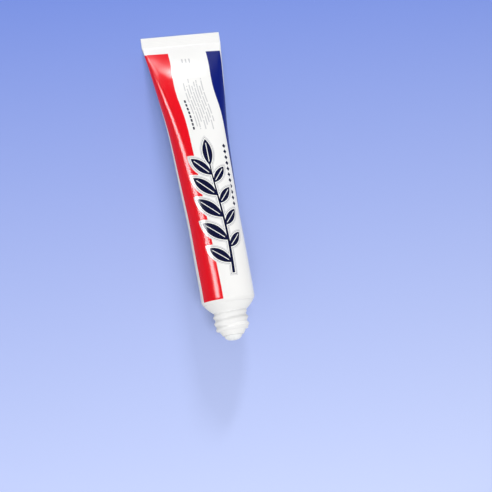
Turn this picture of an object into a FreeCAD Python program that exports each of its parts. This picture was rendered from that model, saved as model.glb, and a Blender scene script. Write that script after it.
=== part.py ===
import FreeCAD, Part
import os
import Sketcher

# A soft laminate tube lying on its back: the rolled sleeve, the moulded
# shoulder with its threaded nozzle, and the paste that fills both.
# Length runs along Y. Station 0 is the front of the paste bead and the
# sealed end is at the far positive end. Lengths are in millimetres.

os.makedirs("parts", exist_ok=True)
doc = FreeCAD.newDocument("tube")

# Driving sizes
SIZES = [
    ("tube_dia", 30),
    ("wall", 0.4),
    ("belly_len", 144),
    ("belly_power", 3.2),
    ("crimp_len", 6),
    ("root_gap", 0.3),
    ("seal_len", 1),
    ("corner_rad", 4),
    ("cone_angle", 45),
    ("skirt_len", 6),
    ("skirt_wall", 1.2),
    ("head_wall", 1.3),
    ("neck_dia", 17.6),
    ("neck_len", 10.2),
    ("thread_rise", 1.2),
    ("thread_foot", 1.9),
    ("thread_crest", 0.9),
    ("thread_pitch", 3.7),
    ("thread_turns", 2.2),
    ("thread_lead_in", 0.1),
    ("thread_sink", 0.3),
    ("tip_base_dia", 14.4),
    ("tip_end_dia", 12.4),
    ("tip_len", 2.7),
    ("bore_dia", 9.2),
    ("bead_rise", 3),
]
sheet = doc.addObject("Spreadsheet::Sheet", "Sizes")
for row, (name, value) in enumerate(SIZES, start=1):
    sheet.set("A%d" % row, name)
    sheet.set("B%d" % row, str(value))
    sheet.setAlias("B%d" % row, name)
doc.recompute()

# Radii worked out from the driving sizes
TUBE_R = "(Sizes.tube_dia / 2)"
INNER_R = "(%s - Sizes.wall)" % TUBE_R
NECK_R = "(Sizes.neck_dia / 2)"
BORE_R = "(Sizes.bore_dia / 2)"
TIP_BASE_R = "(Sizes.tip_base_dia / 2)"
TIP_END_R = "(Sizes.tip_end_dia / 2)"
SKIRT_R = "(%s - Sizes.skirt_wall)" % INNER_R
LIP_R = "(%s - Sizes.corner_rad * (1 - cos(Sizes.cone_angle)))" % TUBE_R
LIP_IN_R = "(%s - Sizes.wall * cos(Sizes.cone_angle))" % LIP_R
CORNER_R = "(%s - Sizes.corner_rad)" % TUBE_R

# Stations along the tube, in order from the bead to the sealed end
MOUTH = "Sizes.bead_rise"
TIP_TOP = "(%s + Sizes.tip_len)" % MOUTH
NECK_TOP = "(%s + Sizes.neck_len)" % TIP_TOP
LIP = "(%s + (%s - %s) / tan(Sizes.cone_angle))" % (NECK_TOP, LIP_R, NECK_R)
LIP_IN = "(%s + Sizes.wall * sin(Sizes.cone_angle))" % LIP
CORNER = "(%s + Sizes.corner_rad * sin(Sizes.cone_angle))" % LIP
SKIRT_TOP = "(%s + Sizes.skirt_len)" % CORNER
CRIMP_ROOT = "(%s + Sizes.belly_len)" % SKIRT_TOP
CRIMP_END = "(%s + Sizes.crimp_len)" % CRIMP_ROOT
INNER_CONE = "(%s + (%%s - %s) / tan(Sizes.cone_angle) + Sizes.head_wall / sin(Sizes.cone_angle))" % (
    NECK_TOP,
    NECK_R,
)
CONE_AT_SKIRT = INNER_CONE % SKIRT_R
CONE_AT_BORE = INNER_CONE % BORE_R
CENTRE_SHIFT = "-%s / 2" % CRIMP_END


def value_of(expression):
    """Present value of an expression in the sizes."""
    return float(sheet.evalExpression(expression))


def vector_of(corner):
    """Sketch point of a corner given as two expressions, radius then station."""
    return FreeCAD.Vector(value_of(corner[0]), value_of(corner[1]), 0)


def hold(sketch, geometry, end, corner):
    """Tie one end of a sketch line or arc to a corner."""
    kinds = ("DistanceX", "DistanceY")
    for kind, expression in zip(kinds, corner):
        if expression is None:
            continue
        if expression == "0":
            axis = -2 if kind == "DistanceX" else -1
            sketch.addConstraint(Sketcher.Constraint("PointOnObject", geometry, end, axis))
            continue
        number = sketch.addConstraint(
            Sketcher.Constraint(kind, -1, 1, geometry, end, value_of(expression))
        )
        sketch.setExpression("Constraints[%d]" % number, expression)


def join(sketch, first, second):
    """Make the end of one piece of the outline the start of the next."""
    sketch.addConstraint(Sketcher.Constraint("Coincident", first[0], first[1], second[0], second[1]))


def line(sketch, start, end):
    """Straight piece of an outline between two corners."""
    return sketch.addGeometry(Part.LineSegment(vector_of(start), vector_of(end)), False)


def plane_of(body):
    """The body's own XY plane, which holds the length of the tube."""
    return [item for item in body.Origin.OriginFeatures if item.Role == "XY_Plane"][0]


def body_with_sketch(label):
    """New body with one sketch on its own XY plane."""
    body = doc.addObject("PartDesign::Body", label)
    sketch = body.newObject("Sketcher::SketchObject", label + "_profile")
    sketch.AttachmentSupport = [(plane_of(body), "")]
    sketch.MapMode = "FlatFace"
    return body, sketch


def turn(body, sketch, label):
    """Revolve a profile a full turn about the length of the tube."""
    solid = body.newObject("PartDesign::Revolution", label)
    solid.Profile = sketch
    solid.ReferenceAxis = (sketch, ["V_Axis"])
    solid.Angle = 360
    sketch.Visibility = False
    return solid


def chain(sketch, corners):
    """Run of straight lines through the corners, each corner held. Gives the line numbers."""
    numbers = []
    for start, end in zip(corners, corners[1:]):
        number = line(sketch, start, end)
        if numbers:
            join(sketch, (numbers[-1], 2), (number, 1))
        hold(sketch, number, 1, start)
        numbers.append(number)
    hold(sketch, numbers[-1], 2, corners[-1])
    return numbers


def corner_arc(sketch, radius_text):
    """Rounded shoulder corner of a given radius, from the cone to the straight side."""
    centre = FreeCAD.Vector(value_of(CORNER_R), value_of(CORNER), 0)
    circle = Part.Circle(centre, FreeCAD.Vector(0, 0, 1), value_of(radius_text))
    sweep = value_of("Sizes.cone_angle * pi / 180")
    arc = sketch.addGeometry(Part.ArcOfCircle(circle, -sweep, 0), False)
    hold(sketch, arc, 3, (CORNER_R, None))
    return arc


# Shoulder and nozzle, moulded in one piece
head, head_sketch = body_with_sketch("shoulder_nozzle")
outside = [
    (BORE_R, MOUTH),
    (TIP_END_R, MOUTH),
    (TIP_BASE_R, TIP_TOP),
    (NECK_R, TIP_TOP),
    (NECK_R, NECK_TOP),
    (LIP_R, LIP),
    (LIP_IN_R, LIP_IN),
]
inside = [
    (INNER_R, CORNER),
    (INNER_R, SKIRT_TOP),
    (SKIRT_R, SKIRT_TOP),
    (SKIRT_R, CONE_AT_SKIRT),
    (BORE_R, CONE_AT_BORE),
]
out_lines = chain(head_sketch, outside)
in_lines = chain(head_sketch, inside)
bore_line = line(head_sketch, inside[-1], outside[0])
join(head_sketch, (in_lines[-1], 2), (bore_line, 1))
join(head_sketch, (bore_line, 2), (out_lines[0], 1))
head_arc = corner_arc(head_sketch, "Sizes.corner_rad - Sizes.wall")
join(head_sketch, (head_arc, 1), (out_lines[-1], 2))
join(head_sketch, (head_arc, 2), (in_lines[0], 1))
turn(head, head_sketch, "head_turned")
doc.recompute()

# Thread ridge wound round the neck, its foot sunk a little into the neck
thread_sketch = head.newObject("Sketcher::SketchObject", "thread_profile")
thread_sketch.AttachmentSupport = [(plane_of(head), "")]
thread_sketch.MapMode = "FlatFace"
THREAD_MIDDLE = "(%s + Sizes.thread_lead_in + Sizes.thread_foot / 2)" % TIP_TOP
FOOT_R = "(%s - Sizes.thread_sink)" % NECK_R
CREST_R = "(%s + Sizes.thread_rise)" % NECK_R
ridge = [
    (FOOT_R, "%s - Sizes.thread_foot / 2" % THREAD_MIDDLE),
    (CREST_R, "%s - Sizes.thread_crest / 2" % THREAD_MIDDLE),
    (CREST_R, "%s + Sizes.thread_crest / 2" % THREAD_MIDDLE),
    (FOOT_R, "%s + Sizes.thread_foot / 2" % THREAD_MIDDLE),
]
ridge_lines = chain(thread_sketch, ridge)
foot_line = line(thread_sketch, ridge[-1], ridge[0])
join(thread_sketch, (ridge_lines[-1], 2), (foot_line, 1))
join(thread_sketch, (foot_line, 2), (ridge_lines[0], 1))
thread = head.newObject("PartDesign::AdditiveHelix", "thread_ridge")
thread.Profile = thread_sketch
thread.ReferenceAxis = (thread_sketch, ["V_Axis"])
thread.Mode = "pitch-turns-angle"
thread.LeftHanded = False
thread.setExpression("Pitch", "Sizes.thread_pitch")
thread.setExpression("Turns", "Sizes.thread_turns")
thread_sketch.Visibility = False
doc.recompute()

# Straight start of the sleeve and its lip drawn in over the corner, as a solid block
rim, rim_sketch = body_with_sketch("sleeve_rim")
rim_lines = chain(
    rim_sketch,
    [(TUBE_R, CORNER), (TUBE_R, SKIRT_TOP), ("0", SKIRT_TOP), ("0", LIP), (LIP_R, LIP)],
)
outer_arc = corner_arc(rim_sketch, "Sizes.corner_rad")
join(rim_sketch, (outer_arc, 1), (rim_lines[-1], 2))
join(rim_sketch, (outer_arc, 2), (rim_lines[0], 1))
turn(rim, rim_sketch, "rim_turned")

# Room inside that block for the shoulder moulding
room, room_sketch = body_with_sketch("rim_room")
room_lines = chain(
    room_sketch,
    [
        (INNER_R, CORNER),
        (INNER_R, SKIRT_TOP),
        ("0", SKIRT_TOP),
        ("0", LIP),
        (LIP_R, LIP),
        (LIP_IN_R, LIP_IN),
    ],
)
inner_arc = corner_arc(room_sketch, "Sizes.corner_rad - Sizes.wall")
join(room_sketch, (inner_arc, 1), (room_lines[-1], 2))
join(room_sketch, (inner_arc, 2), (room_lines[0], 1))
turn(room, room_sketch, "room_turned")
doc.recompute()

# Paste inside the shoulder and nozzle, ending in a small rounded bead at the mouth
plug, plug_sketch = body_with_sketch("paste_front")
plug_lines = chain(
    plug_sketch,
    [
        (BORE_R, MOUTH),
        (BORE_R, CONE_AT_BORE),
        (SKIRT_R, CONE_AT_SKIRT),
        (SKIRT_R, SKIRT_TOP),
        ("0", SKIRT_TOP),
        ("0", "0"),
    ],
)
bead_reach = value_of("(Sizes.bead_rise ^ 2 + (%s) ^ 2) / (2 * Sizes.bead_rise)" % BORE_R)
bead_centre = FreeCAD.Vector(0, bead_reach, 0)
bead_circle = Part.Circle(bead_centre, FreeCAD.Vector(0, 0, 1), bead_reach)
bead_front = bead_circle.parameter(FreeCAD.Vector(0, 0, 0))
bead_side = bead_circle.parameter(vector_of((BORE_R, MOUTH)))
bead_arc = plug_sketch.addGeometry(Part.ArcOfCircle(bead_circle, bead_front, bead_side), False)
hold(plug_sketch, bead_arc, 3, ("0", None))
join(plug_sketch, (bead_arc, 1), (plug_lines[-1], 2))
join(plug_sketch, (bead_arc, 2), (plug_lines[0], 1))
turn(plug, plug_sketch, "front_turned")
doc.recompute()

# Oval cross-sections of the belly. A tube of constant girth grows wider as it is
# pressed flat, so the width follows from the height. Share 0 is the sealed end
# and share 1 the round end by the shoulder.
SHARES = (0, 0.025, 0.06, 0.11, 0.17, 0.24, 0.32, 0.42, 0.54, 0.7, 1)
HALF_HEIGHT = (
    "(Sizes.wall + Sizes.root_gap + (%s - Sizes.wall - Sizes.root_gap)"
    " * (1 - (1 - %%s) ^ Sizes.belly_power))" % TUBE_R
)
HALF_WIDTH = "(%s * pi / 2 - %%s * (pi / 2 - 1))" % TUBE_R
UPRIGHT = FreeCAD.Rotation(FreeCAD.Vector(1, 0, 0), 90)


def oval(label, share, inset, station):
    """Cross-section at a share of the belly, drawn in by the inset, resting above z = 0."""
    high = HALF_HEIGHT % repr(share)
    wide = HALF_WIDTH % high
    ring = doc.addObject("Part::Circle" if share == 1 else "Part::Ellipse", label)
    if share == 1:
        ring.setExpression("Radius", "%s - %s" % (TUBE_R, inset))
    else:
        ring.setExpression("MajorRadius", "%s - %s" % (wide, inset))
        ring.setExpression("MinorRadius", "%s - %s" % (high, inset))
    ring.Placement = FreeCAD.Placement(FreeCAD.Vector(0, 0, 0), UPRIGHT)
    ring.setExpression(".Placement.Base.y", station)
    ring.setExpression(".Placement.Base.z", high)
    ring.Visibility = False
    return ring


def belly(label, inset, back_off):
    """Solid lofted straight from oval to oval, its flat end kept back from the crimp."""
    rings = []
    for number, share in enumerate(SHARES):
        station = "%s - Sizes.belly_len * %r" % (CRIMP_ROOT, share)
        if share == 0:
            station = "%s - %s" % (CRIMP_ROOT, back_off)
        rings.append(oval("%s_oval_%d" % (label, number), share, inset, station))
    loft = doc.addObject("Part::Loft", label)
    loft.Sections = rings
    loft.Solid = True
    loft.Ruled = True
    return loft


outer_belly = belly("belly_outside", "0", "0")
inner_belly = belly("belly_inside", "Sizes.wall", "Sizes.seal_len")
doc.recompute()

# Heat-sealed flat end, both walls pressed together
SEAL_HALF = "(%s - Sizes.wall / 2) * pi / 2" % TUBE_R
crimp = doc.addObject("Part::Box", "crimp_band")
crimp.setExpression("Length", "2 * " + SEAL_HALF)
crimp.setExpression("Width", "Sizes.crimp_len + Sizes.seal_len / 2")
crimp.setExpression("Height", "2 * Sizes.wall")
crimp.setExpression(".Placement.Base.x", "-" + SEAL_HALF)
crimp.setExpression(".Placement.Base.y", "%s - Sizes.seal_len / 2" % CRIMP_ROOT)


def rest_on_floor(item, height):
    """Centre an object along the length and lift it to a height above the floor."""
    item.setExpression(".Placement.Base.y", CENTRE_SHIFT)
    item.setExpression(".Placement.Base.z", height)


# Rim and shoulder share the axis of the round end, one tube radius above the floor
for turned in (rim, room, plug):
    turned.setExpression(".Placement.Base.z", TUBE_R)

# Sleeve: belly, rim and crimp in one, less the room inside
sleeve_block = doc.addObject("Part::MultiFuse", "sleeve_block")
sleeve_block.Shapes = [outer_belly, crimp, rim]
sleeve_room = doc.addObject("Part::MultiFuse", "sleeve_room")
sleeve_room.Shapes = [inner_belly, room]
sleeve = doc.addObject("Part::Cut", "sleeve")
sleeve.Base = sleeve_block
sleeve.Tool = sleeve_room
rest_on_floor(sleeve, "0")

# Paste: the filling of the belly joined to that of the shoulder and nozzle
paste = doc.addObject("Part::MultiFuse", "paste")
paste.Shapes = [inner_belly, plug]
rest_on_floor(paste, "0")
rest_on_floor(head, TUBE_R)
doc.recompute()

# Every object has to be sound before anything is written
for item in doc.Objects:
    if "Invalid" in item.State or "Error" in item.State:
        raise RuntimeError("%s failed: %s" % (item.Label, item.State))
for node in (sleeve, head, paste):
    if node.Shape.isNull() or not node.Shape.isValid():
        raise RuntimeError("%s has no sound shape" % node.Label)
for node in (sleeve, head, paste):
    node.Shape.exportStep("parts/%s.step" % node.Label)
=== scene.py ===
import bpy
import numpy as np
from mathutils import Matrix, Vector


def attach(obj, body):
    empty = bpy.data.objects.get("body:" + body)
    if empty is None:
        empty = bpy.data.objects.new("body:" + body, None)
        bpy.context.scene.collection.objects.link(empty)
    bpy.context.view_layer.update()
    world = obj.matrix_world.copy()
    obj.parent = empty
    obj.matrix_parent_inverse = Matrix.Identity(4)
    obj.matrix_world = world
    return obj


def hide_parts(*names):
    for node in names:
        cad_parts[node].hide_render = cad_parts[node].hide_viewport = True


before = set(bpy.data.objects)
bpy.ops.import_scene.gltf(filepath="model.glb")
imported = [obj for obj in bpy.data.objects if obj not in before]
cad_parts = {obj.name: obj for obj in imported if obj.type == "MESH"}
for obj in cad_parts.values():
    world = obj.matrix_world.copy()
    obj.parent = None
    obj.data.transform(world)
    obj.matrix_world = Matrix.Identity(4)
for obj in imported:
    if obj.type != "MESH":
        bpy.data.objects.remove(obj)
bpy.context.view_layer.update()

# Lengths are in millimetres, as in the part, and place() puts them into metres. A station is a
# distance along the tube from the front of the paste bead.
MM = 0.001

# Stations, from the mouth to the sealed end. The room is the hollow inside the shoulder
MOUTH = 3.0
TIP_TOP = 5.7
BORE_END = 13.4
NECK_TOP = 15.9
LIP = 20.928
ROOM_START = 22.3
CORNER = 23.757
SKIRT_TOP = 29.757
CRIMP_ROOT = 173.757
CRIMP_END = 179.757
SHIFT = -CRIMP_END / 2

# Radii, and the sleeve's wall
BORE_R = 4.6
TIP_END_R = 6.2
TIP_BASE_R = 7.2
NECK_R = 8.8
ROOM_R = 13.4
SKIRT_R = 14.55
TUBE_R = 15.0
CORNER_RAD = 4.0
WALL = 0.4


def place(points):
    """Millimetre points with station along the second column, as metres in the part's frame."""
    moved = np.array(points, dtype=float)
    moved[..., 1] += SHIFT
    return moved * MM


def smooth(low, high, value):
    """Smooth step from 0 at low to 1 at high: 3 t squared less 2 t cubed."""
    share = np.clip((value - low) / (high - low), 0.0, 1.0)
    return share * share * (3.0 - 2.0 * share)


def strip_faces(rows, columns):
    """Quads of a tube of rows rings, each of columns points and closed on itself."""
    row = np.arange(rows - 1)[:, None]
    column = np.arange(columns)[None, :]
    after = (column + 1) % columns
    corners = (
        row * columns + column,
        row * columns + after,
        (row + 1) * columns + after,
        (row + 1) * columns + column,
    )
    return np.stack(corners, axis=-1).reshape(-1, 4)


def fan_faces(ring_start, columns, pole, turned):
    """Triangles from a ring to one pole point."""
    column = np.arange(columns)
    after = (column + 1) % columns
    order = (after, column) if turned else (column, after)
    pole_column = np.full(columns, pole)
    return np.stack((ring_start + order[0], ring_start + order[1], pole_column), axis=-1)


def swept_volume(points, faces):
    """Six times the volume that triangles or quads enclose, positive where they face outward."""
    a = points[faces[:, 0]]
    total = 0.0
    for k in range(1, faces.shape[1] - 1):
        b = points[faces[:, k]]
        c = points[faces[:, k + 1]]
        total += float(np.einsum("ij,ij->i", a, np.cross(b, c)).sum())
    return total


def build_piece(name, points, face_sets, uv=None):
    """Mesh object from points in metres and sets of faces, all turned to point outward."""
    total = sum(swept_volume(points, faces) for faces in face_sets)
    if total < 0:
        face_sets = [faces[:, ::-1] for faces in face_sets]
    counts = np.concatenate([np.full(len(faces), faces.shape[1]) for faces in face_sets])
    corners = np.concatenate([faces.ravel() for faces in face_sets]).astype(np.int32)
    mesh = bpy.data.meshes.new(name)
    mesh.vertices.add(len(points))
    mesh.vertices.foreach_set("co", np.ascontiguousarray(points, dtype=np.float32).ravel())
    mesh.loops.add(len(corners))
    mesh.loops.foreach_set("vertex_index", corners)
    mesh.polygons.add(len(counts))
    starts = np.concatenate(([0], np.cumsum(counts)[:-1])).astype(np.int32)
    mesh.polygons.foreach_set("loop_start", starts)
    mesh.polygons.foreach_set("loop_total", counts.astype(np.int32))
    mesh.polygons.foreach_set("use_smooth", np.ones(len(counts), dtype=bool))
    if uv is not None:
        layer = mesh.uv_layers.new(name="girth_and_length")
        layer.data.foreach_set("uv", np.ascontiguousarray(uv[corners], dtype=np.float32).ravel())
    mesh.update(calc_edges=True)
    mesh.validate(clean_customdata=False)
    piece = bpy.data.objects.new(name, mesh)
    bpy.context.scene.collection.objects.link(piece)
    return piece


# Sleeve shape
BELLY_POWER = 3.2
BOW = -1.3
FLATNESS = 0.35
COLUMNS = 240

# Rows crowd towards the seal, where the height changes fastest. The last ring of the sealed
# end is thinner than the seal, so that the cut edge is soft
ROW_CROWDING = 0.62
EDGE_SOFT = 0.15
EDGE_SHARE = 0.7
INNER_END = 172.0

# The UV map holds girth and station, each over its own reach. The inner skin has no print
UV_GIRTH = 100.0
UV_LENGTH = 200.0
NO_PRINT = -20.0

# Relief of the skin. A pair says where a form fades in or out, along the tube or round it
WAVE = 0.15
WAVES_IN = (SKIRT_TOP + 4.0, SKIRT_TOP + 40.0)
WAVES_OUT = (160.0, 172.0)
RIB = 0.02
RIB_PITCH = 0.9
RIBS_IN = (174.3, 174.8)
RIBS_OUT = (178.8, 179.3)
LAP = 0.12
LAP_EDGE = 43.2
LAP_WIDTH = (LAP_EDGE - 7.0, LAP_EDGE - 0.5)
LAP_IN = (SKIRT_TOP + 1.0, SKIRT_TOP + 7.0)
LAP_OUT = (CRIMP_ROOT - 3.0, CRIMP_ROOT)
PRESS = 0.05
PRESS_RIM = 151.6
PRESS_REACH = 6.0
PRESS_LEFT = (-15.5, -10.5)
PRESS_RIGHT = (5.0, 14.0)


def half_height(station):
    """Half the tube's thickness: from the flat root it rises as 1 less (1 - share) to a power."""
    share = np.clip((CRIMP_ROOT - station) / (CRIMP_ROOT - SKIRT_TOP), 0.0, 1.0)
    return WALL + (TUBE_R - WALL) * (1.0 - (1.0 - share) ** BELLY_POWER)


def bow(station):
    """Sideways shift of the belly's middle: half a sine wave from the skirt to the flat root."""
    share = np.clip((station - SKIRT_TOP) / (CRIMP_ROOT - SKIRT_TOP), 0.0, 1.0)
    return BOW * np.sin(np.pi * share)


def oval(girth_share, high, girth, flatness):
    """Point on a four-arc oval at a share of its girth, -0.5 to 0.5 from the front middle.

    Two wide arcs, front and back, meet two tight side arcs in a smooth joint. Their radii
    are solved so that the oval has the half height and the girth asked for.
    """
    alpha = flatness * high / TUBE_R
    quarter = girth / 4.0
    # Two sums fix the radii. Wide (1 - cos alpha) + tight cos alpha is the half height, and
    # wide alpha + tight (half pi - alpha) is a quarter of the girth
    a11 = 1.0 - np.cos(alpha)
    a12 = np.cos(alpha)
    a22 = np.pi / 2.0 - alpha
    det = a11 * a22 - a12 * alpha
    wide = (high * a22 - a12 * quarter) / det
    tight = (a11 * quarter - alpha * high) / det
    along = np.abs(girth_share) * girth
    side = np.sign(girth_share)
    front_len = wide * alpha
    side_len = tight * (np.pi - 2.0 * alpha)
    back = along > front_len + side_len
    front = along < front_len
    arc = np.where(back, girth / 2.0 - along, along)
    wide_x = wide * np.sin(arc / wide)
    wide_z = wide * np.cos(arc / wide) - (wide - tight) * np.cos(alpha)
    turn = alpha + (along - front_len) / tight
    side_x = (wide - tight) * np.sin(alpha) + tight * np.sin(turn)
    side_z = tight * np.cos(turn)
    x = np.where(front | back, wide_x, side_x) * side
    z = np.where(front, wide_z, np.where(back, -wide_z, side_z))
    return x, z


def sleeve_rows():
    """Stations, half heights and girths of the outer skin, from the lip to the sealed end."""
    turn = np.linspace(np.pi / 4.0, 0.0, 13)
    corner_station = CORNER - CORNER_RAD * np.sin(turn)
    corner_r = TUBE_R - CORNER_RAD * (1.0 - np.cos(turn))
    straight = np.linspace(CORNER, SKIRT_TOP, 6)[1:]
    share = np.linspace(0.0, 1.0, 150)[1:] ** ROW_CROWDING
    belly = SKIRT_TOP + (CRIMP_ROOT - SKIRT_TOP) * share
    band = np.linspace(CRIMP_ROOT, CRIMP_END - EDGE_SOFT, 57)[1:]
    rest = np.concatenate((straight, belly, band))
    station = np.concatenate((corner_station, rest))
    high = np.concatenate((corner_r, half_height(rest)))
    girth = 2.0 * np.pi * np.concatenate((corner_r, np.full(len(rest), TUBE_R)))
    return station, high, girth


def inner_rows():
    """Stations, half heights and girths of the inner skin, one wall inside, from seal to lip."""
    turn = np.linspace(0.0, np.pi / 4.0, 6)
    corner_station = CORNER - (CORNER_RAD - WALL) * np.sin(turn)
    corner_r = TUBE_R - CORNER_RAD + (CORNER_RAD - WALL) * np.cos(turn)
    near_seal = np.linspace(INNER_END, 160.0, 14)
    rest = np.concatenate((near_seal, np.linspace(158.0, CORNER + 0.5, 40)))
    station = np.concatenate((rest, corner_station))
    high = np.concatenate((half_height(rest) - WALL, corner_r))
    girth = np.concatenate((np.full(len(rest), TUBE_R - WALL), corner_r)) * 2.0 * np.pi
    return station, high, girth


def fade(start, end, value):
    """1 between a smooth step up over start and one down over end, and 0 outside them."""
    return smooth(*start, value) * (1.0 - smooth(*end, value))


def relief(girth, station):
    """Outward offset of the outer skin in millimetres, at a girth and a station.

    It adds up slow sine waves over the belly, whole in number round the tube so that they
    close, the seal's fine cross ribs, the thickness of the lap down the back, and the hollow
    that a squeeze left. The hollow starts at a rim, deepens with the distance from it and dies
    away as an exponential.
    """
    angle = girth / TUBE_R
    swell = np.sin(0.11 * station + 0.9) * np.cos(2.0 * angle + 0.4)
    roll = 0.6 * np.sin(0.071 * station - 3.0 * angle + 2.0)
    waves = WAVE * (swell + roll) * fade(WAVES_IN, WAVES_OUT, station)
    ribs = np.sin(2.0 * np.pi * station / RIB_PITCH) * fade(RIBS_IN, RIBS_OUT, station)
    sunk = smooth(*LAP_WIDTH, girth) * (girth < LAP_EDGE) * fade(LAP_IN, LAP_OUT, station)
    below = np.clip(PRESS_RIM - station, 0.0, None)
    width = fade(PRESS_LEFT, PRESS_RIGHT, girth)
    hollow = PRESS * below * np.exp(-below / PRESS_REACH) * width
    return waves + RIB * ribs - LAP * sunk - hollow


def push_out(grid, offset):
    """Grid points moved along their normals, the cross product of the grid's two directions."""
    around = np.roll(grid, -1, axis=1) - np.roll(grid, 1, axis=1)
    along = np.gradient(grid, axis=0)
    normal = np.cross(around, along)
    normal /= np.linalg.norm(normal, axis=-1, keepdims=True)
    middle = grid.mean(axis=1, keepdims=True)
    turned_in = np.sum(normal * (grid - middle)) < 0.0
    return grid + normal * offset[..., None] * (-1.0 if turned_in else 1.0)


def column_shares(columns):
    """Share of the girth at the middle of each column, from -0.5 to 0.5 with 0 in front."""
    return (np.arange(columns) + 0.5) / columns - 0.5


def oval_rings(share, station, high, girth, lift, lowest):
    """Rings of the oval at the stations, bowed sideways, lifted and given their relief.

    A point that would lie below the lowest height is put at that height.
    """
    x, z = oval(share[None, :], high[:, None], girth[:, None], FLATNESS)
    y = np.broadcast_to(station[:, None], x.shape)
    rings = np.stack((x + bow(station)[:, None], y, z + lift[:, None]), axis=-1)
    girth_mm = share[None, :] * 2.0 * np.pi * TUBE_R
    rings = push_out(rings, relief(girth_mm, station[:, None]))
    rings[..., 2] = np.maximum(rings[..., 2], lowest)
    return rings


def build_sleeve():
    """Inner skin from near the seal to the lip, then the outer skin to the sealed end, capped."""
    share = column_shares(COLUMNS)
    station, high, girth = sleeve_rows()
    lift = np.where(station < CORNER, TUBE_R, high)
    outer = oval_rings(share, station, high, girth, lift, 0.0)
    edge_high = np.array([[WALL * EDGE_SHARE]])
    edge_x, edge_z = oval(share[None, :], edge_high, np.array([[girth[-1]]]), FLATNESS)
    edge = np.stack((edge_x, np.full_like(edge_x, CRIMP_END), edge_z + WALL), axis=-1)

    back, back_high, back_girth = inner_rows()
    back_lift = np.where(back > CORNER, back_high + WALL, TUBE_R)
    inner = oval_rings(share, back, back_high, back_girth, back_lift, WALL * 0.5)

    rings = np.concatenate((inner, outer, edge))
    rows = len(rings)
    skin = strip_faces(rows, COLUMNS)
    start_cap = flat_cap(0)[:, ::-1]
    end_cap = flat_cap((rows - 1) * COLUMNS)

    all_station = np.concatenate((np.full(len(back), NO_PRINT), station, [CRIMP_END]))
    girth_mm = share[None, :] * 2.0 * np.pi * TUBE_R
    uv_u = np.broadcast_to(girth_mm, (rows, COLUMNS)) / UV_GIRTH + 0.5
    uv_v = np.broadcast_to(all_station[:, None], (rows, COLUMNS)) / UV_LENGTH
    uv = np.stack((uv_u, uv_v), axis=-1).reshape(-1, 2)
    points = place(rings.reshape(-1, 3))
    return build_piece("tube_sleeve", points, [skin, start_cap, end_cap], uv)


def flat_cap(first):
    """Quads that close a flattened ring: each front point is joined to the back one under it."""
    half = COLUMNS // 2
    right = np.arange(half, half + half // 2 - 1)
    left = np.arange(half - 1, half - half // 2, -1)
    right_back = 3 * half - 1 - right
    left_back = half - 1 - left
    right_quads = np.stack((right, right + 1, right_back - 1, right_back), axis=-1)
    left_quads = np.stack((left, left_back, left_back + 1, left - 1), axis=-1)
    middle = np.array([[half - 1, half, COLUMNS - 1, 0]])
    return np.concatenate((right_quads, left_quads, middle)) + first


# Shoulder and nozzle. The thread's pairs are turns over which it fades in and out
THREAD_PITCH = 3.74
THREAD_START = 7.5
THREAD_RISE = 0.9
THREAD_IN = (-0.42, -0.12)
THREAD_OUT = (2.10, 2.40)
CONE_SWELL = 0.4
ROOT_ROUND = 0.7
ROOT_REACH = 1.15
NECK_ROUND = 0.5
RIM_ROUND = 0.6
PIECE_GAP = 0.03
SLEEVE_GAP = 0.05


def thread_ridge(station, angle):
    """Height of the neck's ridge: a rounded bead that climbs one pitch for each turn.

    The turn count is the station over the pitch less the angle, rounded to the nearest
    ridge. The bead's height falls off as a cosine across it and fades in at both ends.
    """
    phase = (station - THREAD_START) / THREAD_PITCH - angle / (2.0 * np.pi)
    nearest = np.round(phase)
    across = np.abs(phase - nearest) * 2.0
    bead = 0.5 + 0.5 * np.cos(np.pi * np.clip(across * 1.05, 0.0, 1.0))
    wound = nearest + angle / (2.0 * np.pi)
    return THREAD_RISE * bead * fade(THREAD_IN, THREAD_OUT, wound)


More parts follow.
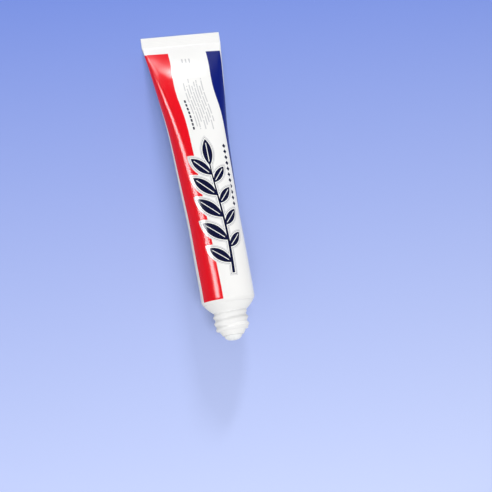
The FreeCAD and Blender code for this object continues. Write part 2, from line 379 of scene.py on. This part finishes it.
def head_outline():
    """Station and radius of the moulding, from the lip ledge to the mouth and down the bore."""
    root_top = NECK_TOP + ROOT_ROUND
    cone_s = np.linspace(LIP - PIECE_GAP, root_top, 14)
    cone_share = (cone_s - NECK_TOP) / (LIP - NECK_TOP)
    cone_r = NECK_R + (cone_s - NECK_TOP) + CONE_SWELL * np.sin(np.pi * cone_share)
    root_turn = np.linspace(0.0, 1.0, 6)[1:]
    root_s = root_top - ROOT_REACH * root_turn
    root_r = NECK_R + ROOT_ROUND * (1.0 - root_turn) ** 1.8
    neck_end = TIP_TOP + NECK_ROUND
    neck_s = np.linspace(root_top - ROOT_REACH, neck_end, 90)[1:]
    neck_r = np.full(len(neck_s), NECK_R)
    step_turn = np.linspace(0.0, np.pi / 2.0, 6)[1:]
    step_s = neck_end - NECK_ROUND * np.sin(step_turn)
    step_r = NECK_R - NECK_ROUND * (1.0 - np.cos(step_turn))
    collar_s = TIP_TOP - np.array([0.03, 0.12, 0.3])
    collar_r = TIP_BASE_R + np.array([0.35, 0.1, 0.0])
    rim_top = MOUTH + RIM_ROUND
    tip_s = np.linspace(TIP_TOP - 0.5, rim_top, 8)
    tip_r = np.linspace(TIP_BASE_R, TIP_END_R, 8)
    rim_turn = np.linspace(0.0, np.pi / 2.0, 7)[1:]
    rim_s = rim_top - RIM_ROUND * np.sin(rim_turn)
    rim_r = TIP_END_R - RIM_ROUND * (1.0 - np.cos(rim_turn))
    bore_s = np.array([MOUTH, MOUTH + 0.06, MOUTH + 0.3, MOUTH + 3.0, BORE_END])
    bore_r = BORE_R + np.array([0.3, 0.08, 0.0, 0.0, 0.0])
    # Inside of the shoulder and the skirt, back to the ledge under the sleeve's lip
    in_s = np.array([ROOM_START, SKIRT_TOP, SKIRT_TOP, CORNER])
    in_r = np.array([ROOM_R, ROOM_R, SKIRT_R, SKIRT_R])
    back_turn = np.linspace(0.0, np.pi / 4.0, 7)[1:]
    back_rad = CORNER_RAD - WALL - SLEEVE_GAP
    back_s = CORNER - back_rad * np.sin(back_turn)
    back_r = TUBE_R - CORNER_RAD + back_rad * np.cos(back_turn)
    station = np.concatenate(
        (cone_s, root_s, neck_s, step_s, collar_s, tip_s, rim_s, bore_s, in_s, back_s)
    )
    radius = np.concatenate(
        (cone_r, root_r, neck_r, step_r, collar_r, tip_r, rim_r, bore_r, in_r, back_r)
    )
    outside = len(cone_s) + len(root_s) + len(neck_s) + len(step_s)
    return station, radius, outside


def build_head():
    """The outline turned about the tube's axis, its neck raised by the thread's ridge."""
    station, radius, outside = head_outline()
    columns = 200
    angle = np.arange(columns) / columns * 2.0 * np.pi - np.pi
    station_grid = np.broadcast_to(station[:, None], (len(station), columns))
    angle_grid = np.broadcast_to(angle[None, :], station_grid.shape)
    ridge = thread_ridge(station_grid, angle_grid)
    near = smooth(TIP_TOP + 0.05, TIP_TOP + NECK_ROUND, station_grid)
    near = near * (np.arange(len(station))[:, None] < outside)
    plain = np.broadcast_to(radius[:, None], station_grid.shape)
    raised = np.maximum(plain, NECK_R + ridge)
    full = np.where(near > 0.0, plain + (raised - plain) * near, plain)
    x = full * np.sin(angle_grid)
    z = full * np.cos(angle_grid) + TUBE_R
    points = np.stack((x, station_grid, z), axis=-1).reshape(-1, 3)
    rows = len(station)
    faces = strip_faces(rows, columns)
    column = np.arange(columns)
    after = (column + 1) % columns
    last = (rows - 1) * columns
    close = np.stack((last + column, last + after, after, column), axis=-1)
    return build_piece("threaded_head", place(points), [faces, close])


# Paste
PASTE_GAP = 0.12
PASTE_END = 171.5
BEAD_SWELL = 0.45


def build_paste():
    """Filling turned about the axis: a soft bead at the mouth, the bore, and the belly behind."""
    columns = 160
    angle = (np.arange(columns) + 0.5) / columns * 2.0 * np.pi - np.pi
    bead_turn = np.linspace(0.0, np.pi / 2.0, 22)[1:]
    bead_end = MOUTH - PIECE_GAP
    bead_s = bead_end - bead_end * np.cos(bead_turn)
    bead_r = (BORE_R + BEAD_SWELL) * np.sin(bead_turn) ** 0.8
    tuck_s = np.array([MOUTH - 0.02, MOUTH + 0.05, MOUTH + 0.3, MOUTH + 2.0, BORE_END + 0.1])
    tuck_r = BORE_R + np.array([0.28, 0.0, -0.05, -0.05, -0.05])
    room_s = np.array([ROOM_START + 0.15, SKIRT_TOP + 0.1])
    room_r = np.full(2, ROOM_R - 0.1)
    turned_s = np.concatenate((bead_s, tuck_s, room_s))
    turned_r = np.concatenate((bead_r, tuck_r, room_r))
    near_mouth = np.exp(-((turned_s[:, None] - 1.4) / 1.3) ** 2)
    front_r = turned_r[:, None] * (1.0 + 0.05 * np.sin(3.0 * angle + 0.7) * near_mouth)
    x = front_r * np.sin(angle)[None, :]
    z = front_r * np.cos(angle)[None, :] + TUBE_R
    y = np.broadcast_to(turned_s[:, None], x.shape)
    front = np.stack((x, y, z), axis=-1)

    near_seal = np.linspace(159.0, PASTE_END, 14)
    back_s = np.concatenate((np.linspace(SKIRT_TOP + 0.2, 158.0, 60), near_seal))
    gap = WALL + PASTE_GAP
    high = half_height(back_s) - gap
    girth = np.full(len(back_s), 2.0 * np.pi * (TUBE_R - gap))
    back = oval_rings(column_shares(columns), back_s, high, girth, high + gap, WALL * 0.6)

    rings = np.concatenate((front, back)).reshape(-1, 3)
    rows = len(front) + len(back)
    poles = np.array([[0.15, 0.0, TUBE_R + 0.1], [0.0, PASTE_END + 0.1, 1.1]])
    points = np.concatenate((rings, poles))
    skin = strip_faces(rows, columns)
    first_pole = fan_faces(0, columns, rows * columns, True)
    last_pole = fan_faces((rows - 1) * columns, columns, rows * columns + 1, False)
    return build_piece("paste_filling", place(points), [skin, first_pole, last_pole])


# Materials
class Field:
    """A number that changes over a surface, worked out by Math nodes."""

    def __init__(self, tree, socket):
        self.tree = tree
        self.socket = socket

    def math(self, operation, *others, clamp=False):
        """One Math node with this field as its first input."""
        node = self.tree.nodes.new("ShaderNodeMath")
        node.operation = operation
        node.use_clamp = clamp
        for index, value in enumerate((self,) + others):
            if isinstance(value, Field):
                self.tree.links.new(value.socket, node.inputs[index])
            else:
                node.inputs[index].default_value = value
        return Field(self.tree, node.outputs[0])

    def __add__(self, other):
        return self.math("ADD", other)

    def __sub__(self, other):
        return self.math("SUBTRACT", other)

    def __mul__(self, other):
        return self.math("MULTIPLY", other)

    def low(self, other):
        """The lower of two fields."""
        return self.math("MINIMUM", other)

    def high(self, other):
        """The higher of two fields."""
        return self.math("MAXIMUM", other)

    def size(self):
        """The field without its sign."""
        return self.math("ABSOLUTE")

    def step(self, start, end, top=1.0, base=0.0, interpolation="SMOOTHSTEP"):
        """Base before start, top after end, and a smooth rise between."""
        node = self.tree.nodes.new("ShaderNodeMapRange")
        node.interpolation_type = interpolation
        self.tree.links.new(self.socket, node.inputs["Value"])
        node.inputs["From Min"].default_value = start
        node.inputs["From Max"].default_value = end
        node.inputs["To Min"].default_value = base
        node.inputs["To Max"].default_value = top
        return Field(self.tree, node.outputs["Result"])

    def inside(self, edge=0.06):
        """1 where a signed distance is below zero, with an edge as sharp as print."""
        return self.step(-edge, edge, top=0.0, base=1.0)

    def between(self, start, end, edge=0.06):
        """1 where the field lies between start and end."""
        middle = (start + end) / 2.0
        reach = (end - start) / 2.0
        return ((self - middle).size() - reach).inside(edge)


def paint(tree, below, colour, mask):
    """Colour laid over what is below wherever the mask is 1."""
    node = tree.nodes.new("ShaderNodeMix")
    node.data_type = "RGBA"
    tree.links.new(mask.socket, node.inputs["Factor"])
    if isinstance(below, tuple):
        node.inputs["A"].default_value = below
    else:
        tree.links.new(below, node.inputs["A"])
    node.inputs["B"].default_value = colour
    return node.outputs["Result"]


def new_material(name, **values):
    """Material with one Principled shader whose plain sockets hold the given values."""
    material = bpy.data.materials.new(name)
    material.use_nodes = True
    tree = material.node_tree
    shader = tree.nodes["Principled BSDF"]
    for key, value in values.items():
        shader.inputs[key.replace("_", " ")].default_value = value
    return material, tree, shader


def own_coordinates(tree):
    """The piece's own coordinates, in metres."""
    return tree.nodes.new("ShaderNodeTexCoord").outputs["Object"]


def fields_of(tree, vector):
    """Fields of a vector's three parts."""
    split = tree.nodes.new("ShaderNodeSeparateXYZ")
    tree.links.new(vector, split.inputs["Vector"])
    return [Field(tree, part) for part in split.outputs]


def noise(tree, coordinates, scale, detail=2.0, stretch=None):
    """Noise field, about 0.5 in the middle, on the given coordinates."""
    node = tree.nodes.new("ShaderNodeTexNoise")
    node.inputs["Scale"].default_value = scale
    node.inputs["Detail"].default_value = detail
    source = coordinates
    if stretch is not None:
        mapping = tree.nodes.new("ShaderNodeMapping")
        mapping.inputs["Scale"].default_value = stretch
        tree.links.new(coordinates, mapping.inputs["Vector"])
        source = mapping.outputs["Vector"]
    tree.links.new(source, node.inputs["Vector"])
    return Field(tree, node.outputs["Fac"])


def grain_group():
    """Fine surface grain: a noise added to a height, and a roughness that follows the noise.

    Grain is how much noise goes into the height. Smooth and Matt are the roughness where the
    noise is low and where it is high.
    """
    tree = bpy.data.node_groups.new("surface_grain", "ShaderNodeTree")
    tree.interface.new_socket("Position", in_out="INPUT", socket_type="NodeSocketVector")
    names = ("Scale", "Shape Height", "Grain", "Smooth", "Matt")
    for name in names:
        tree.interface.new_socket(name, in_out="INPUT", socket_type="NodeSocketFloat")
    for name in ("Height", "Roughness"):
        tree.interface.new_socket(name, in_out="OUTPUT", socket_type="NodeSocketFloat")
    entry = tree.nodes.new("NodeGroupInput")
    result = tree.nodes.new("NodeGroupOutput")
    fine = noise(tree, entry.outputs["Position"], 1.0, detail=3.0)
    tree.links.new(entry.outputs["Scale"], fine.socket.node.inputs["Scale"])
    field = {name: Field(tree, entry.outputs[name]) for name in names}
    height = field["Shape Height"] + fine * field["Grain"]
    roughness = field["Smooth"] + fine.step(0.3, 0.7) * (field["Matt"] - field["Smooth"])
    tree.links.new(height.socket, result.inputs["Height"])
    tree.links.new(roughness.socket, result.inputs["Roughness"])
    return tree


GRAIN = grain_group()


BUMP_STRENGTH = 0.35
BUMP_DISTANCE = 0.001


def add_grain(tree, shader, scale, grain, smoothest, mattest, shape_height=None):
    """Shared grain into a material's roughness and, with its own shape height, its normal."""
    node = tree.nodes.new("ShaderNodeGroup")
    node.node_tree = GRAIN
    tree.links.new(own_coordinates(tree), node.inputs["Position"])
    values = {"Scale": scale, "Grain": grain, "Smooth": smoothest, "Matt": mattest}
    for name, value in values.items():
        node.inputs[name].default_value = value
    if shape_height is not None:
        tree.links.new(shape_height.socket, node.inputs["Shape Height"])
    tree.links.new(node.outputs["Roughness"], shader.inputs["Roughness"])
    bump = tree.nodes.new("ShaderNodeBump")
    bump.inputs["Strength"].default_value = BUMP_STRENGTH
    bump.inputs["Distance"].default_value = BUMP_DISTANCE
    tree.links.new(node.outputs["Height"], bump.inputs["Height"])
    tree.links.new(bump.outputs["Normal"], shader.inputs["Normal"])


WHITE = (0.87, 0.87, 0.86, 1.0)
RED = (0.80, 0.0, 0.005, 1.0)
NAVY = (0.0, 0.006, 0.16, 1.0)
INK = (0.003, 0.003, 0.026, 1.0)
GREY = (0.33, 0.33, 0.36, 1.0)
PALE_GREY = (0.56, 0.56, 0.58, 1.0)


def leaf_group():
    """Signed distance to a pointed leaf, and to its midrib, in millimetres.

    The leaf is what two equal discs share. Across is the distance from the midrib and
    along the distance from the middle, after a turn. Offset and radius are the discs'.
    """
    tree = bpy.data.node_groups.new("mint_leaf", "ShaderNodeTree")
    names = ("Girth", "Length", "Middle Girth", "Middle Length")
    names += ("Cosine", "Sine", "Offset", "Radius", "Rib")
    for name in names:
        tree.interface.new_socket(name, in_out="INPUT", socket_type="NodeSocketFloat")
    for name in ("Leaf", "Midrib"):
        tree.interface.new_socket(name, in_out="OUTPUT", socket_type="NodeSocketFloat")
    entry = tree.nodes.new("NodeGroupInput")
    result = tree.nodes.new("NodeGroupOutput")
    field = {name: Field(tree, entry.outputs[name]) for name in names}
    girth = field["Girth"] - field["Middle Girth"]
    length = field["Length"] - field["Middle Length"]
    across = girth * field["Cosine"] - length * field["Sine"]
    along = girth * field["Sine"] + length * field["Cosine"]
    reach = across.size() + field["Offset"]
    leaf = (reach * reach + along * along).math("SQRT") - field["Radius"]
    vein = (across.size() - 0.2).high(along.size() - field["Rib"])
    tree.links.new(leaf.socket, result.inputs["Leaf"])
    tree.links.new(vein.socket, result.inputs["Midrib"])
    return tree


# Where each leaf leaves the stem, its turn in degrees, its half length and its half width.
# Lengths are in millimetres
LEAVES = (
    (97.5, 1.0, 7.8, 2.7),
    (92.0, -43.0, 7.4, 2.8),
    (87.5, 41.0, 5.8, 2.3),
    (80.0, -45.0, 8.4, 3.1),
    (75.5, 43.0, 6.0, 2.4),
    (67.5, -47.0, 8.8, 3.2),
    (63.0, 45.0, 6.2, 2.5),
    (54.5, -49.0, 8.6, 3.2),
    (50.5, 47.0, 6.0, 2.4),
    (42.0, -51.0, 7.4, 2.9),
)
STEM_FOOT = 36.0
STEM_TOP = 99.0
STEM_WAVE = 0.075
STEM_SWAY = 0.9
STEM_SIDE = -0.8


def sprig(tree, girth, length):
    """Signed distances to the printed sprig and to its white midribs.

    The stem is a slow sine along the tube, and thins towards its top. Each leaf's middle is
    its foot on the stem plus its half length along its own turn.
    """
    group = leaf_group()
    bend = ((length - STEM_FOOT) * STEM_WAVE).math("SINE") * STEM_SWAY + STEM_SIDE
    thick = length.step(STEM_FOOT, STEM_TOP, top=0.35, base=0.85, interpolation="LINEAR")
    middle = (STEM_FOOT + STEM_TOP) / 2.0
    shape = ((girth - bend).size() - thick).high((length - middle).size() - (STEM_TOP - middle))
    veins = None
    for foot, turn, half_length, half_width in LEAVES:
        node = tree.nodes.new("ShaderNodeGroup")
        node.node_tree = group
        tree.links.new(girth.socket, node.inputs["Girth"])
        tree.links.new(length.socket, node.inputs["Length"])
        radius = (half_length ** 2 + half_width ** 2) / (2.0 * half_width)
        sine = float(np.sin(np.radians(turn)))
        cosine = float(np.cos(np.radians(turn)))
        side = STEM_SWAY * float(np.sin((foot - STEM_FOOT) * STEM_WAVE)) + STEM_SIDE
        node.inputs["Middle Girth"].default_value = side + half_length * sine
        node.inputs["Middle Length"].default_value = foot + half_length * cosine
        node.inputs["Cosine"].default_value = cosine
        node.inputs["Sine"].default_value = sine
        node.inputs["Offset"].default_value = radius - half_width
        node.inputs["Radius"].default_value = radius
        node.inputs["Rib"].default_value = half_length * 0.7
        shape = shape.low(Field(tree, node.outputs["Leaf"]))
        vein = Field(tree, node.outputs["Midrib"])
        veins = vein if veins is None else veins.low(vein)
    return shape, veins


# Print, in millimetres round the sleeve from the middle of its front, and along it
PRINT_START = 22.6
PRINT_END = 168.6
RED_PANEL = (-23.6, -9.35)
NAVY_PANEL = (13.0, 21.6)
HAIRLINE = (22.8, 23.15)
RULES_ROUND = (-4.5, 7.44)
RULES_ALONG = (121.0, 148.5)
DASHES_ROUND = (-6.5, -5.5)
DASHES_ALONG = (119.0, 138.0)
TICKS_ALONG = (161.2, 164.2)
LOZENGES_MIDDLE = 9.5
LOZENGES_ALONG = (73.4, 109.9)


def laminate_material():
    """Printed glossy laminate: panels, a hairline, a sprig and small marks on a white ground."""
    material, tree, shader = new_material("printed_laminate", Specular_IOR_Level=0.21)
    layer = tree.nodes.new("ShaderNodeUVMap")
    layer.uv_map = "girth_and_length"
    across, up, _ = fields_of(tree, layer.outputs["UV"])
    turned = (across - 0.5) * UV_GIRTH
    length = up * UV_LENGTH

    # The print runs a little round the tube from the sealed end to the shoulder, and is drawn
    # aside where the tube was squeezed
    drift = length.step(24.0, 168.0, top=0.0, base=3.0, interpolation="LINEAR")
    squeeze = (length - 151.0) * 0.09
    pull = (squeeze * squeeze * -1.0).math("EXPONENT") * 0.9
    press = (length - 141.0) * 0.08
    pull = pull + (press * press * -1.0).math("EXPONENT") * 1.4
    girth = turned - drift + pull
    top_edge = length + turned * 0.03
    panels = (top_edge - PRINT_END).high(length * -1.0 + PRINT_START).inside()

    colour = paint(tree, WHITE, RED, girth.between(*RED_PANEL) * panels)
    lean = length.step(40.0, 125.0, top=0.0, base=3.4)
    navy = girth - lean
    colour = paint(tree, colour, NAVY, navy.between(*NAVY_PANEL) * panels)
    colour = paint(tree, colour, GREY, navy.between(*HAIRLINE) * panels)

    # Fine broken rules with ragged ends stand near the sealed end, beside a bold dashed one
    rank = (girth + 4.5) * 0.67
    row = rank.math("FLOOR")
    ragged = (row * 2.4).math("SINE") * 2.6
    breaks = (length * 1.7 + row * 2.1).math("SINE") + (length * 0.83 + row * 4.3).math("SINE")
    rule = (rank.math("FRACT") - 0.5).size().between(-0.2, 0.2, 0.05)
    rule = rule * breaks.step(-1.2, -1.0)
    block = girth.between(*RULES_ROUND) * (length + ragged).between(*RULES_ALONG)
    colour = paint(tree, colour, PALE_GREY, rule * block)
    dash = (length * 0.42).math("FRACT").between(0.14, 0.86, 0.05)
    dash = dash * girth.between(*DASHES_ROUND) * length.between(*DASHES_ALONG)
    colour = paint(tree, colour, INK, dash)
    beside = (girth + 0.2).size()
    tick = ((beside - 2.1).size().low(beside) - 0.45).inside(0.15)
    colour = paint(tree, colour, PALE_GREY, tick * length.between(*TICKS_ALONG, 0.3))

    # Lozenges in a row beside the sprig
    cell = ((length * 0.30).math("FRACT") - 0.5).size() * 3.33
    lozenge = (cell + (girth - LOZENGES_MIDDLE).size() - 1.3).inside(0.08)
    colour = paint(tree, colour, INK, lozenge * length.between(*LOZENGES_ALONG))

    shape, veins = sprig(tree, girth, length)
    colour = paint(tree, colour, WHITE, (shape - 1.75).inside())
    colour = paint(tree, colour, PALE_GREY, shape.between(1.2, 1.42))
    colour = paint(tree, colour, GREY, shape.between(0.55, 0.85))
    colour = paint(tree, colour, INK, shape.inside())
    colour = paint(tree, colour, WHITE, veins.inside())
    tree.links.new(colour, shader.inputs["Base Color"])

    broad = noise(tree, own_coordinates(tree), 34.0) * 0.06
    add_grain(
        tree, shader, scale=900.0, grain=0.001, smoothest=0.145, mattest=0.152, shape_height=broad
    )
    return material


def plastic_material():
    """Satin white moulding with faint mould texture."""
    material, tree, shader = new_material("satin_white_moulding", Specular_IOR_Level=0.4)
    cloud = noise(tree, own_coordinates(tree), 60.0).step(0.35, 0.7)
    colour = paint(tree, WHITE, (0.83, 0.83, 0.82, 1.0), cloud)
    tree.links.new(colour, shader.inputs["Base Color"])
    add_grain(tree, shader, scale=1500.0, grain=0.008, smoothest=0.46, mattest=0.54)
    return material


def paste_material():
    """Glossy white paste with soft streaks where it turned as it came out."""
    material, tree, shader = new_material("white_paste", Specular_IOR_Level=0.4)
    streak = noise(tree, own_coordinates(tree), 260.0, stretch=(1.0, 0.35, 1.0))
    pale, deep = (0.87, 0.88, 0.88, 1.0), (0.82, 0.84, 0.845, 1.0)
    colour = paint(tree, pale, deep, streak.step(0.4, 0.65))
    tree.links.new(colour, shader.inputs["Base Color"])
    add_grain(
        tree, shader, scale=1200.0, grain=0.004, smoothest=0.24, mattest=0.34,
        shape_height=streak * 0.1,
    )
    return material


BACKDROP = (0.31, 0.40, 0.80, 1.0)


def seen_rays(tree):
    """1 for the rays that look at the backdrop: from the camera, off gloss or through glass."""
    path = tree.nodes.new("ShaderNodeLightPath")
    camera = Field(tree, path.outputs["Is Camera Ray"])
    glossy = Field(tree, path.outputs["Is Glossy Ray"])
    return camera.high(glossy).high(Field(tree, path.outputs["Is Transmission Ray"]))


FLOOR_NEAR = (0.55, 0.63, 0.93, 1.0)
FLOOR_FAR = (0.166, 0.254, 0.705, 1.0)
FLOOR_BOUNCE = (0.62, 0.62, 0.60, 1.0)


def floor_material():
    """Plain pale floor, a little deeper behind the sealed end, that fades into the backdrop."""
    material, tree, shader = new_material("pale_floor", Roughness=0.9, Specular_IOR_Level=0.1)
    coordinates = own_coordinates(tree)
    along = fields_of(tree, coordinates)[1].step(-0.19, 0.13, interpolation="LINEAR")
    colour = paint(tree, FLOOR_NEAR, FLOOR_FAR, along)
    # The light that the floor throws back on to the tube is neutral
    colour = paint(tree, colour, FLOOR_BOUNCE, seen_rays(tree) * -1.0 + 1.0)
    tree.links.new(colour, shader.inputs["Base Color"])

    reach = tree.nodes.new("ShaderNodeVectorMath")
    reach.operation = "LENGTH"
    tree.links.new(coordinates, reach.inputs[0])
    fade = Field(tree, reach.outputs["Value"]).step(0.2, 0.55) * seen_rays(tree)
    glow = tree.nodes.new("ShaderNodeEmission")
    glow.inputs["Color"].default_value = BACKDROP
    blend = tree.nodes.new("ShaderNodeMixShader")
    tree.links.new(fade.socket, blend.inputs["Fac"])
    tree.links.new(shader.outputs["BSDF"], blend.inputs[1])
    tree.links.new(glow.outputs["Emission"], blend.inputs[2])
    tree.links.new(blend.outputs["Shader"], tree.nodes["Material Output"].inputs["Surface"])
    return material


# The tube's pieces
sleeve = build_sleeve()
sleeve.data.materials.append(laminate_material())
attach(sleeve, "root")
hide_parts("sleeve")

head = build_head()
head.data.materials.append(plastic_material())
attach(head, "root")
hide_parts("shoulder_nozzle")

paste = build_paste()
paste.data.materials.append(paste_material())
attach(paste, "root")
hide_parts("paste")


# Floor and light
def build_floor():
    """Large flat sheet under the tube."""
    reach = 3.0
    corners = ((-reach, -reach), (reach, -reach), (reach, reach), (-reach, reach))
    points = np.array([(x, y, 0.0) for x, y in corners])
    mesh = bpy.data.meshes.new("floor")
    mesh.from_pydata(points.tolist(), [], [(0, 1, 2, 3)])
    floor = bpy.data.objects.new("floor", mesh)
    bpy.context.scene.collection.objects.link(floor)
    mesh.materials.append(floor_material())
    return floor


build_floor()


def area_light(name, place_at, aim, width, length, power, long_axis):
    """Rectangular lamp at a place, facing a point, its long side along the given direction."""
    lamp = bpy.data.lights.new(name, "AREA")
    lamp.shape = "RECTANGLE"
    lamp.size = width
    lamp.size_y = length
    lamp.energy = power
    holder = bpy.data.objects.new(name, lamp)
    back = (Vector(place_at) - Vector(aim)).normalized()
    up = Vector(long_axis)
    up = (up - up.dot(back) * back).normalized()
    right = up.cross(back)
    holder.matrix_world = Matrix(
        (
            (right.x, up.x, back.x, place_at[0]),
            (right.y, up.y, back.y, place_at[1]),
            (right.z, up.z, back.z, place_at[2]),
            (0.0, 0.0, 0.0, 1.0),
        )
    )
    bpy.context.scene.collection.objects.link(holder)
    return holder


# The strip and the corner light only give the gloss its long highlight. The others and the
# world light the tube
strip_light = area_light(
    "strip_light", (-0.475, 0.10, 0.215), (-0.015, 0.0, 0.02),
    width=0.125, length=0.50, power=6.4, long_axis=(0.0, 0.68, -0.733),
)
corner_light = area_light(
    "corner_light", (-0.30, 0.60, 0.315), (-0.02, 0.072, 0.007),
    width=0.07, length=0.45, power=3.6, long_axis=(0.605, 0.663, 0.44),
)
for highlight in (strip_light, corner_light):
    highlight.visible_diffuse = False
area_light(
    "window_light", (0.204, 0.971, 0.482), (-0.012, 0.064, 0.010),
    width=0.085, length=0.23, power=4.5, long_axis=(0.9, -0.01, -0.43),
)
area_light(
    "near_light", (-0.10, -0.58, 0.92), (0.0, 0.0, 0.0),
    width=0.7, length=0.8, power=5.9, long_axis=(1.0, 0.0, 0.0),
)


def build_world():
    """Even soft light from all round, with the backdrop's colour where it is looked at."""
    world = bpy.data.worlds.new("studio")
    world.use_nodes = True
    tree = world.node_tree
    fill = tree.nodes["Background"]
    fill.inputs["Color"].default_value = (1.0, 0.99, 0.975, 1.0)
    fill.inputs["Strength"].default_value = 0.58
    shown = tree.nodes.new("ShaderNodeBackground")
    shown.inputs["Color"].default_value = BACKDROP
    shown.inputs["Strength"].default_value = 1.0
    blend = tree.nodes.new("ShaderNodeMixShader")
    tree.links.new(seen_rays(tree).socket, blend.inputs["Fac"])
    tree.links.new(fill.outputs["Background"], blend.inputs[1])
    tree.links.new(shown.outputs["Background"], blend.inputs[2])
    tree.links.new(blend.outputs["Shader"], tree.nodes["World Output"].inputs["Surface"])
    bpy.context.scene.world = world


build_world()


# Camera. Its turns are degrees, its aim and offset millimetres, and its focal length pixels of
# a square photograph
ROLL_PITCH_YAW = (9.05, -7.10, 16.0)
AIM = (0.0, 8.879, 8.0)
OFFSET = (-23.65, 43.2, -1009.5)
SENSOR = 36.0
FOCAL_PIXELS = 1780.0
PHOTO_PIXELS = 492.0


def turn_about(axis, angle):
    """Turning matrix about axis 0, 1 or 2: cosines on the other two, sines across them."""
    first, second = (axis + 1) % 3, (axis + 2) % 3
    matrix = np.eye(3)
    matrix[first, first] = matrix[second, second] = np.cos(angle)
    matrix[second, first] = np.sin(angle)
    matrix[first, second] = -np.sin(angle)
    return matrix


def build_camera():
    """Camera turned by roll, pitch and yaw about the aim point, at the photograph's distance."""
    roll, pitch, yaw = np.radians(ROLL_PITCH_YAW)
    turn = turn_about(2, roll) @ turn_about(0, pitch) @ turn_about(1, yaw)
    where = (np.array(AIM) - turn.T @ np.array(OFFSET)) * MM
    lens = bpy.data.cameras.new("camera")
    lens.sensor_width = SENSOR
    lens.lens = SENSOR * FOCAL_PIXELS / PHOTO_PIXELS
    lens.clip_start = 0.05
    lens.clip_end = 20.0
    camera = bpy.data.objects.new("camera", lens)
    matrix = np.eye(4)
    matrix[:3, :3] = turn.T
    matrix[:3, 3] = where
    camera.matrix_world = Matrix(matrix.tolist())
    bpy.context.scene.collection.objects.link(camera)
    bpy.context.scene.camera = camera


build_camera()
bpy.context.scene.view_settings.view_transform = "Standard"
